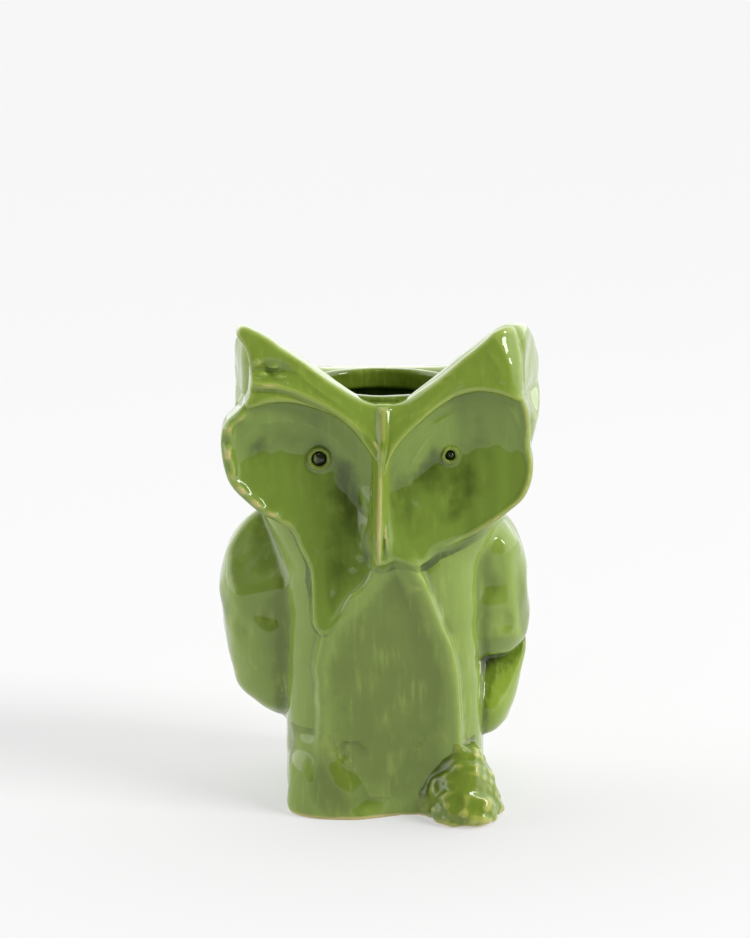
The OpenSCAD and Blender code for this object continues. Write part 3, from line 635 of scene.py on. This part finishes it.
right_wing = lobe((40, 0), 1, [
    [57, 10, 8, 16, 18], [61, 15, 8, 21, 22], [66, 18.5, 8, 24, 26], [70, 19.8, 8, 26, 29],
    [75, 20.5, 8, 27, 31], [85, 20, 8, 27.5, 33], [95, 18.8, 8, 27, 33], [103, 17.3, 8, 26, 32],
    [110, 14, 8, 22, 28], [118, 9, 6, 14, 20]], 2.5, 3)
right_wing = right_wing + 0.6 * knobs(15, 13)
right_wing = pare(right_wing, (50, -22, 62), (0.1, -0.25, -0.9), 1.5)
right_wing = pare(right_wing, (50, -24.5, 80), (0.25, -0.96, 0.1), 2)
right_wing = pare(right_wing, (57, -16, 82), (0.85, -0.5, 0.1), 2)
for x, y, z, r in [(45, -33, 92, 9), (42, -36, 103, 8), (52, -30, 76, 7)]:
    right_wing = cut(right_wing, -ball(x, y, z, r), 2)
lay("right_wing", right_wing, 2.5, body_glaze)

right_tip = lobe((40, 0), 1, [
    [24, 3, 4, 12, 8], [27, 8.5, 6, 18, 12], [31, 12.5, 8, 21, 18], [40, 15.2, 8, 22, 23],
    [47, 16.8, 8, 21, 25], [55, 18.2, 8, 19.5, 25], [62, 19.2, 8, 18, 25], [68, 19, 8, 16, 25]], 2.2, 4)
right_tip = right_tip + 0.5 * knobs(12, 17)
right_tip = pare(right_tip, (46, -20.5, 48), (-0.15, -0.9, 0.42), 1.5)
right_tip = pare(right_tip, (50, -17, 44), (0.3, -0.8, 0.5), 1.5)
tip_glaze = glaze("tip_glaze", (0.105, 0.165, 0.012), (0.215, 0.310, 0.034))
lay("right_wing_tip", right_tip, 1.5, tip_glaze)

# ---------------------------------------------------------------------------
# head_wall, left_ear and right_ear: the widened upper part of the wall, and
# the two corners drawn up from it. They carry the face and the mouth.
ear_foot = 176.0
head = vessel + slope * (np.maximum(neck_height - Z, 0) + np.maximum(Z - ear_foot, 0))
# inside=hollow paints the walls inside the head near black: painted shade
clay_piece("head_wall", np.maximum(head, np.maximum(neck_height - 8 - Z, Z - ear_foot - 8)), clay, body_glaze,
           rough=4, inside=hollow)
ears = vessel + slope * np.maximum(ear_foot - Z, 0)
# inside=hollow paints the walls inside the ears near black: painted shade
for side, name in ((-1, "left_ear"), (1, "right_ear")):
    clay_piece(name, np.maximum(np.maximum(ears, ear_foot - 8 - Z), -side * X + 5), clay, body_glaze, rough=4,
               inside=hollow)

# ---------------------------------------------------------------------------
# mouth_collar: a thick coil of clay laid round the mouth and smoothed flat on
# top, luted to the head wall. Below it the walls inside are painted dark: painted shade.
thread = bpy.data.node_groups.new("clay_thread", "GeometryNodeTree")
thread.interface.new_socket("Mesh", in_out="OUTPUT", socket_type="NodeSocketGeometry")
thread_inputs = {}
for key, kind in (("Radius", "Float"), ("Width", "Float"), ("Height", "Float"), ("Rounding", "Float"),
                  ("Wobble", "Float"), ("Wobble Scale", "Float"), ("Material", "Material")):
    socket = thread.interface.new_socket(key, in_out="INPUT", socket_type="NodeSocket" + kind)
    thread_inputs[key] = socket.identifier
given = thread.nodes.new("NodeGroupInput").outputs
circle = wired(thread, "GeometryNodeCurvePrimitiveCircle", {"Resolution": 144, "Radius": given["Radius"]})
here = wired(thread, "GeometryNodeInputPosition", {})
wander = wired(thread, "ShaderNodeTexNoise", {"Vector": here, "Scale": given["Wobble Scale"], "Detail": 1.0})
wander = wired(thread, "ShaderNodeVectorMath", {0: wander.node.outputs["Color"], 1: (0.5, 0.5, 0.5)},
               operation="SUBTRACT")
wander = wired(thread, "ShaderNodeVectorMath", {0: wander, "Scale": given["Wobble"]}, operation="SCALE")
path = wired(thread, "GeometryNodeSetPosition", {"Geometry": circle, "Offset": wander})
section = wired(thread, "GeometryNodeCurvePrimitiveQuadrilateral", {"Width": given["Width"],
                                                                    "Height": given["Height"]})
section = wired(thread, "GeometryNodeFilletCurve", {"Curve": section, "Count": 5, "Radius": given["Rounding"],
                                                    "Limit Radius": True}, mode="POLY")
coil = wired(thread, "GeometryNodeCurveToMesh", {"Curve": path, "Profile Curve": section})
coil = wired(thread, "GeometryNodeRealizeInstances", {"Geometry": coil})
coil = wired(thread, "GeometryNodeSetMaterial", {"Geometry": coil, "Material": given["Material"]})
thread.links.new(coil, thread.nodes.new("NodeGroupOutput").inputs[0])


def thread_ring(name, material, centre, across, up, **sizes):
    """A ring of clay thread: across and up span its plane; sizes in millimetres."""
    holder = bpy.data.objects.new("thread", bpy.data.meshes.new("thread"))
    scene.collection.objects.link(holder)
    modifier = holder.modifiers.new("thread", "NODES")
    modifier.node_group = thread
    for key, value in sizes.items():
        modifier[thread_inputs[key.replace("_", " ")]] = value
    modifier[thread_inputs["Material"]] = material
    shaped = holder.evaluated_get(bpy.context.evaluated_depsgraph_get())
    mesh = bpy.data.meshes.new_from_object(shaped)
    bpy.data.objects.remove(holder)
    points = np.empty(len(mesh.vertices) * 3, np.float32)
    mesh.vertices.foreach_get("co", points)
    across, up = (np.array(way, float) / np.linalg.norm(way) for way in (across, up))
    frame_of_ring = np.array([across, up, np.cross(across, up)])
    points = (points.reshape(-1, 3) @ frame_of_ring + centre) / 1000
    mesh.vertices.foreach_set("co", points.astype(np.float32).ravel())
    mesh.update()
    outward_mesh = bmesh.new()
    outward_mesh.from_mesh(mesh)
    bmesh.ops.recalc_face_normals(outward_mesh, faces=outward_mesh.faces)
    outward_mesh.to_mesh(mesh)
    outward_mesh.free()
    finish_piece(name, mesh, material)


collar_glaze = glaze("collar_glaze", (0.070, 0.110, 0.008), (0.150, 0.220, 0.020))
collar_radius = mouth_radius + collar_thickness / 2
thread_ring("mouth_collar", collar_glaze, (0, 0, rim_height - 3.8), (1, 0, 0), (0, 1, 0),
            Radius=collar_radius, Width=collar_thickness, Height=8.6, Rounding=1.9, Wobble=1.2,
            Wobble_Scale=0.05)

# ---------------------------------------------------------------------------
# left_face_disc and right_face_disc: two slabs cut to shape and luted on the
# front of the head, each pressed in to a dish. The left one runs on down
# over the chest and is smeared into the trunk.
face_glaze = glaze("face_glaze", (0.060, 0.094, 0.009), (0.168, 0.252, 0.036), streaks=0.2, ripples=0.08)
left_outline = [
    (1, 110), (1, 120), (0, 140), (-1, 152), (-8, 159), (-13, 164), (-20, 168.5), (-30, 172),
    (-38, 173.5), (-45, 173), (-52, 171), (-57, 165.8), (-61.7, 161), (-63.2, 155), (-63.2, 150), (-62, 142),
    (-59.5, 136), (-53.5, 129.5), (-47.5, 124.5), (-41, 121), (-36, 117), (-32.5, 110), (-29, 103), (-28, 96),
    (-27.8, 88), (-27.5, 81), (-25, 77.5), (-22, 78.5), (-18.5, 82), (-15.5, 86), (-12.5, 89.5), (-9.5, 93),
    (-6.5, 97.5), (-4, 102), (-1.5, 107)]
right_outline = [
    (-3, 108.5), (5, 108.5), (12, 108), (15, 106.5), (18, 107.5), (21, 110), (28, 112.5), (35, 116),
    (42, 120.5), (49, 125.5), (55, 131), (58, 138), (58.5, 145), (57.5, 151), (57.5, 160),
    (56, 168), (52.5, 173.5), (45, 176), (38, 177), (33, 176.5), (27, 174.5), (20, 171),
    (15, 167), (8, 161), (3, 155), (-1, 148), (-3, 133)]
left_sd = outline_distance(left_outline)
right_sd = outline_distance(right_outline)


def most(a, b, k):
    """The greater of two reaches, eased over k."""
    return -join(-a, -b, k)


# the left dish: a face that leans back below, an upright one above, a lip under the brow
fold = 152 + 1.0 * np.sin(FX * 0.31 + 1) + 0.6 * np.sin(FX * 0.73)
chest_left = 45.9 + 0.2 * (FX + 25.5) - 0.15 * (FZ - 74) - 0.5 * np.maximum(0, 79 - FZ)
chest_left = chest_left - 3 * ramp(1, -2, belly_sd)
dish_l = most(chest_left, 34.4 - 0.17 * (FX + 30) - 0.175 * (FZ - fold), 1.5)
dish_l = most(dish_l, 34.4 + 0.12 * (FZ - fold) + 0.4 * np.maximum(0, FX + 24)
              + 0.15 * np.maximum(0, -24 - FX), 1)
left_brow_line = [(-66, 155), (-58, 163), (-52, 168.5), (-45, 169.5), (-38, 170), (-30, 168.5), (-20, 164.5),
                  (-13, 160), (-8, 154.5), (-3, 148), (-1.7, 138)]
away, side, _ = line_distance(left_brow_line)
dish_l = dish_l + read_rows([[-5, 1.5], [0, 1.2], [2.4, 1.0], [8, 1.7], [9, 1.4], [14, 0], [30, 0]],
                            -away * side)[0]
dish_l = dish_l + 0.45 * np.maximum(0, FX + 10) * ramp(108, 118, FZ) * ramp(168, 158, FZ)
rolled = ramp(-30, -42, FX) * ramp(170, 160, FZ) * ramp(112, 120, FZ)
lumpy = 1 + 0.5 * np.sin(FX * 0.55 + 1.0) * np.sin(FZ * 0.62)
dish_l = dish_l + 1.9 * np.exp(-((left_sd + 2.8) / 2.0) ** 2) * rolled * lumpy
for x, z, width, tall, rise in [(-47, 150, 2.0, 1.4, -0.4),
                                (-14, 131, 7.0, 10.0, -1.4), (-5, 129, 0.9, 1.4, 0.5),
                                (-5, 120, 0.9, 1.6, 0.5), (-9, 109, 1.0, 1.4, 0.4),
                                (-12, 104, 0.9, 1.2, 0.4), (-20, 96, 1.0, 3.0, 0.4),
                                (-17, 114, 2.0, 4.0, -0.3), (-26, 112, 3.0, 3.0, 0.3),
                                (-8, 117, 1.2, 3.0, -0.4)]:
    dish_l = dish_l + thumb(x, z, width, tall, rise)

dish_r = most(48.6 - 0.25 * (FX - 8) - 0.19 * (FZ - 106), 34.8 + 0.1 * (FX - 30) - 0.18 * (FZ - fold), 1.5)
dish_r = most(dish_r, 34.8 + 0.12 * (FZ - fold) + 0.42 * np.maximum(0, 30 - FX)
              + 0.1 * np.maximum(0, FX - 30), 1)
for line, width, rise in [
        ([(33, 167.5), (25, 165), (18, 161), (12, 156), (7, 149), (3, 141), (1, 134)], 1.2, -0.8),
        ([(22, 163), (15, 159), (10, 154), (6, 147), (3, 140), (0.8, 133)], 0.9, 0.7),
        ([(24, 160), (17, 154), (12, 147), (8, 139)], 0.8, 0.45),
        ([(16, 149), (12, 143), (9, 136)], 0.7, 0.35),
        ([(44, 170), (50, 166), (54, 158), (55, 148)], 1.2, 0.35)]:
    dish_r = dish_r + stroke(line, width, rise)
for x, z, width, tall, rise in [(12, 122, 6, 8, -0.5), (5, 113, 1.2, 3.0, 0.3)]:
    dish_r = dish_r + thumb(x, z, width, tall, rise)
dish_r = dish_r + 0.8 * np.exp(-((right_sd + 1.2) / 1.0) ** 2) * ramp(18, 30, FX)
dish_r = dish_r - 1.6 * ramp(-3.5, 0.5, right_sd) * ramp(126, 114, FZ) * ramp(42, 30, FX) * ramp(14, 22, FX)

# each eye is a pit pressed into the dish: its middle and the radius of its ring
eyes = {"left": (-25.2, 146.0, 3.9), "right": (26.3, 147.6, 2.9)}
for name, (x, z, r) in eyes.items():
    away = np.hypot(FX - x, FZ - z)
    pit = 0.6 * np.exp(-((away - r) / 1.0) ** 2) - 2.6 * (1 - ramp(r - 1.6, r - 0.3, away))
    dish_l, dish_r = (dish_l + pit, dish_r) if name == "left" else (dish_l, dish_r + pit)
# the pools darken the lower dishes near the nose and the eyes: painted shade, partly pooled glaze
lay("left_face_disc", plate(left_sd, dish_l, mask_back - 6, 2.0, 0.08), 2.4, face_glaze,
    rough=0.5, pools_and_shade=[(-12, 130, 8, 8, 0.5), (-19, 137, 8, 7, 0.4), (-28, 143, 7, 5, 0.25)])
lay("right_face_disc", plate(right_sd, dish_r, mask_back - 6, 1.5, 0.1), 3 + 2 * ramp(124, 112, Z),
    face_glaze, rough=0.5, pools_and_shade=[(34, 136, 14, 8, 0.35), (20, 137, 8, 8, 0.3)])

# ---------------------------------------------------------------------------
# left_brow and right_brow: slabs laid over the tops of the discs and drawn up
# into the ears. Their lower edge stands over the dish; their top is the rim.
brow_glaze = glaze("brow_glaze", (0.085, 0.130, 0.011), (0.190, 0.280, 0.036), bare_from=0.5, bare_to=0.9,
                   ripples=0.2)
brow_low = read_rows([[-62, 160], [-58, 163], [-52, 168.5], [-45, 169.5], [-38, 170], [-30, 168.5],
                      [-20, 164.5], [-13, 160], [-8, 154.5], [-3, 148], [-0.5, 143], [3, 150],
                      [8, 156.5], [15, 163], [20, 167], [27, 171.5], [33, 173.5], [38, 174],
                      [45, 173], [52.5, 170.5], [56, 166],
                      [60, 160]], FX)[0]
ridge_reach = read_rows([[-60, 42.5], [-52, 43], [-45, 43.1], [-38, 42.6], [-30, 42.3], [-20, 43],
                         [-13, 44.6], [-8, 46], [-3, 48.6], [0, 49.5], [3, 49.3], [8, 47.8],
                         [15, 46], [20, 44.2], [27, 42], [33, 41.6], [38, 41.6], [45, 41.8],
                         [52, 42], [60, 42]], FX)[0]
rim_reach = read_rows([[-60, 33], [-55, 33.5], [-45, 36], [-30, 38.4], [-15, 39.4], [0, 39.8], [15, 39.4],
                       [30, 38.5], [40, 37], [48, 35.5], [56, 32]], FX)[0]
brow_high = read_rows(crest, FX)[0]
up = np.clip((FZ - brow_low) / np.maximum(brow_high - brow_low, 2), -0.3, 1.2)
brow_reach = ridge_reach + (rim_reach - ridge_reach) * (
    up + 0.35 * np.maximum(0, up - 0.3) - 0.245 * ramp(0, 1, up))
for line, width, rise in [
        ([(-53, 175), (-46, 176), (-40, 175.6), (-35, 174.2), (-30, 172), (-20, 167), (-10, 160),
          (-4, 154.5)], 1.2, 1.1),
        ([(-50, 173.5), (-40, 173), (-30, 170), (-20, 165), (-12, 160)], 1.3, -0.5),
        ([(-40, 187), (-32, 180), (-22, 172), (-8, 162)], 1.0, 0.4),
        ([(8, 161), (16, 168), (26, 175.5), (36, 179)], 1.1, 0.35),
        ([(40, 190), (45, 183), (46.5, 176)], 1.5, 0.4)]:
    brow_reach = brow_reach + stroke(line, width, rise)
for x, z, width, tall, rise in [
        (-44.5, 181.3, 6.5, 3.2, -4.0), (-45.5, 176.6, 5.0, 1.2, 0.9), (-43, 182.8, 2.2, 0.9, 1.9),
        (-47, 180.3, 1.9, 0.9, 1.8), (-40.5, 179.6, 1.8, 1.0, 1.5), (-49, 184.5, 1.3, 1.8, 1.4),
        (-49.5, 174, 2.0, 1.5, -0.7),
        (-30, 180, 3.0, 1.5, -0.4), (-22, 174, 2.5, 1.2, 0.3), (-44, 173.5, 3.5, 1.2, -0.5),
        (25, 178, 3.0, 1.5, -0.3), (35, 184, 3.0, 2.0, -0.4), (12, 167, 2.0, 1.5, 0.3),
        (-52, 193, 2.5, 3.0, 0.6)]:
    brow_reach = brow_reach + thumb(x, z, width, tall, rise)
fold_right = read_rows([[168, 53], [173, 51], [178, 49.8], [183, 49.5], [189, 47], [195, 44]], FZ)[0]
brow_reach = brow_reach - 0.5 * np.maximum(0, FX - fold_right)
left_brow_outline = [
    (-53, 167.5), (-52, 173), (-51.5, 177.5), (-51.5, 181), (-52, 185), (-53.5, 190), (-57, 195), (-55, 198),
    (-50, 196.5), (-44, 193.5), (-40, 190.5), (-30, 184.5), (-23, 179.5), (-16, 175), (-10, 172), (-5, 170.3),
    (2, 169.7), (2, 155), (-1, 146), (-3, 148), (-8, 154.5), (-13, 160), (-20, 164.5), (-30, 168.5),
    (-38, 170), (-45, 169.5)]
right_brow_outline = [
    (-2, 169.7), (7, 170.3), (13, 172.8), (20, 177), (25, 181), (30, 185.5), (35, 189.5), (40, 193.5),
    (43, 196), (50, 197.5), (52.5, 193), (54, 186), (54, 181), (54, 177), (54, 173), (53.5, 170),
    (45, 173), (38, 174), (33, 173.5), (27, 171.5), (20, 167), (15, 163), (8, 156.5), (3, 150),
    (0, 142), (-2, 155)]
for name, outline, flare in (("left_brow", left_brow_outline, 0.1), ("right_brow", right_brow_outline, 0.1)):
    brow = plate(outline_distance(outline), brow_reach, mask_back - 6, 1.5, flare)
    lay(name, cut(brow, (Z - top) * 0.85, 1.5), 1.2, brow_glaze, rough=2.5)

# ---------------------------------------------------------------------------
# beak_ridge: a roll of clay pinched up where the discs meet. It is round
# between the brows and sharp below, where the glaze thins to the clay.
nose_sd = np.maximum(np.abs(FX + 1.0) - 3.2, np.abs(FZ - 136.7) - 30.3)
nose_x = read_rows([[104, -1.8], [130, -1.3], [147, -1.0], [152, 0], [170, 0]], FZ)[0]
nose_reach = read_rows([[100, 49], [104, 50], [108, 51.3], [118, 52.2], [130, 52], [140, 51], [150, 49.2],
                        [156, 47.4], [160, 45.6], [166, 42.8], [170, 41]], FZ)[0]
nose_round = read_rows([[104, 0.3], [136, 0.35], [146, 0.9], [156, 2.2], [170, 2.6]], FZ)[0]
nose = nose_reach - 1.6 * (np.sqrt((FX - nose_x) ** 2 + nose_round ** 2) - nose_round)
nose_glaze = glaze("nose_glaze", (0.105, 0.155, 0.012), (0.180, 0.260, 0.026), thin=(0.34, 0.38, 0.09),
                   clay_colour=(0.47, 0.43, 0.15), thin_from=0.14, thin_to=0.34, bare_from=0.40, bare_to=0.68)
lay("beak_ridge", plate(nose_sd, nose, mask_back - 6, 0.8), 1.2, nose_glaze, rough=1)

# ---------------------------------------------------------------------------
# left_eye_ring, right_eye_ring and the two eye pellets: a thread of clay laid
# round the edge of each pit, and a dark glossy pellet pressed into it.
ring_glaze = glaze("ring_glaze", (0.10, 0.145, 0.012), (0.19, 0.25, 0.03))
pellet_glaze = glaze("pellet_glaze", (0.006, 0.009, 0.003), (0.020, 0.024, 0.006))

for name, (x, z, r) in eyes.items():
    dish = dish_l if name == "left" else dish_r
    around = np.linspace(0, 2 * np.pi, 24, endpoint=False)
    ring_x, ring_z = x + (r + 2) * np.cos(around), z + (r + 2) * np.sin(around)
    i = np.round((ring_x - block_low[0]) / step).astype(int)
    k = np.round((ring_z - block_low[2]) / step).astype(int)
    terms = np.stack([np.ones(24), ring_x - x, ring_z - z], axis=1)
    (reach, turn_x, turn_z), *_ = np.linalg.lstsq(terms, dish[i, k], rcond=None)
    across, up_way = np.array([1, -turn_x, 0]), np.array([0, -turn_z, 1])
    thread_ring(name + "_eye_ring", ring_glaze, (x, -reach - 0.35, z), across, up_way, Radius=r,
                Width=1.7, Height=1.5,
                Rounding=0.7, Wobble=0.7, Wobble_Scale=0.3)
    pellet = bmesh.new()
    bmesh.ops.create_icosphere(pellet, subdivisions=4, radius=1)
    for vertex in pellet.verts:
        p = np.array(vertex.co)
        dimple = 1 + 0.10 * math.sin(3.1 * p[0] + 2 * p[2]) * math.cos(2.7 * p[2] - p[1])
        vertex.co = (np.array([x, -reach + 1.3, z]) + p * [r - 1.0, 1.9, r - 1.0] * dimple) / 1000
    pellet_mesh = bpy.data.meshes.new(name + "_eye_pellet")
    pellet.to_mesh(pellet_mesh)
    pellet.free()
    finish_piece(name + "_eye_pellet", pellet_mesh, pellet_glaze)
